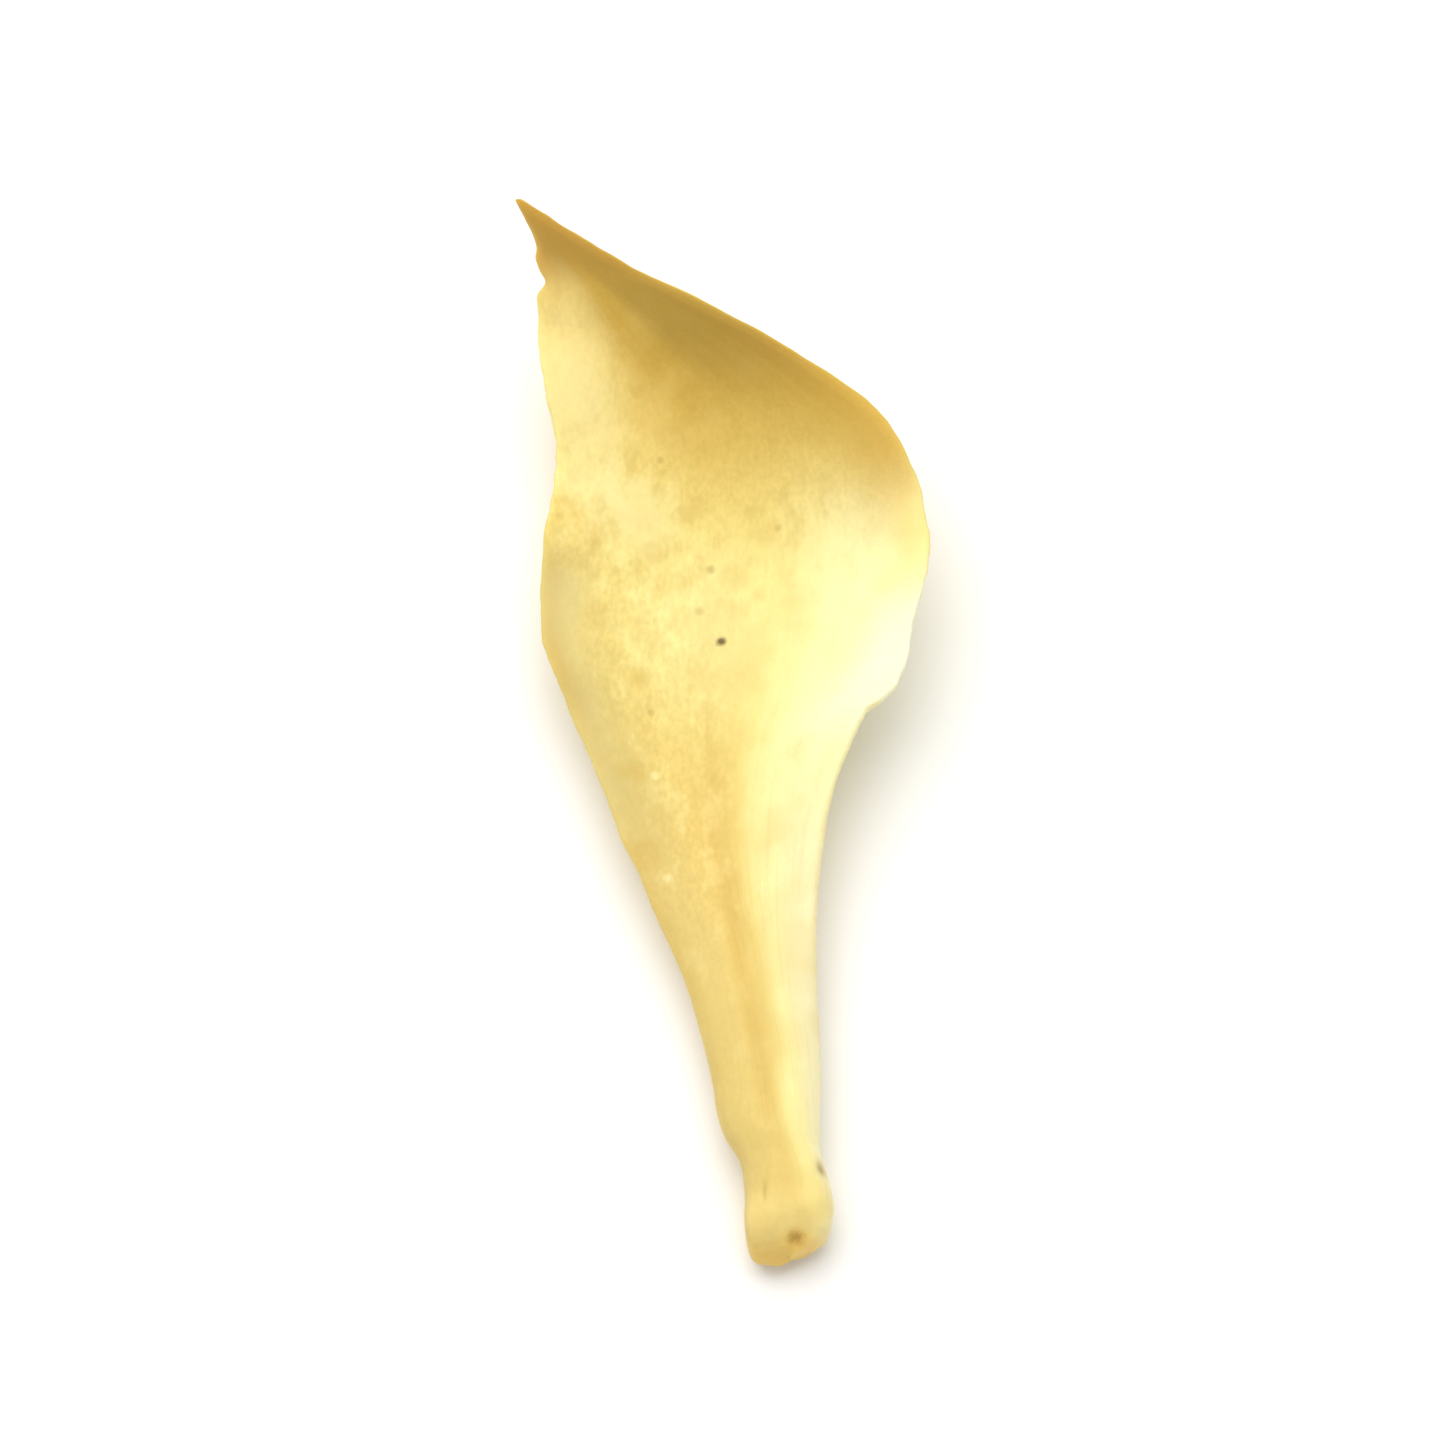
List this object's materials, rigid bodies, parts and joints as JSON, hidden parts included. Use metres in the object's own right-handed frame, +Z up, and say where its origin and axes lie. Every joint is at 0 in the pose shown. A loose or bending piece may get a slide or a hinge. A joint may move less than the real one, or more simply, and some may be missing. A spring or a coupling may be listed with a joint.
{
  "type": "dried lily bulb scale",
  "caption": "Dried scale of a lily bulb: a spoon-shaped fleshy leaf, hollow side up, with a thin wavy margin and a leaning pointed tip, narrowing to a thick stalk with a broken foot.",
  "frame": {"origin": "middle of the bounding box, on the surface that the scale rests on", "axes": "+Y from the broken foot to the tip, +Z up out of the hollow inner face, and +X to the right when looking along +Y from the foot"},
  "size_m": [0.0168, 0.0438, 0.0071],
  "materials": {
    "dried_flesh": "cream to pale golden, waxy and slightly translucent, with fine lengthways veins, a faint grain and a few brown specks"
  },
  "bodies": {
    "root": {"bulb_scale": "dried_flesh"}
  },
  "joints": []
}
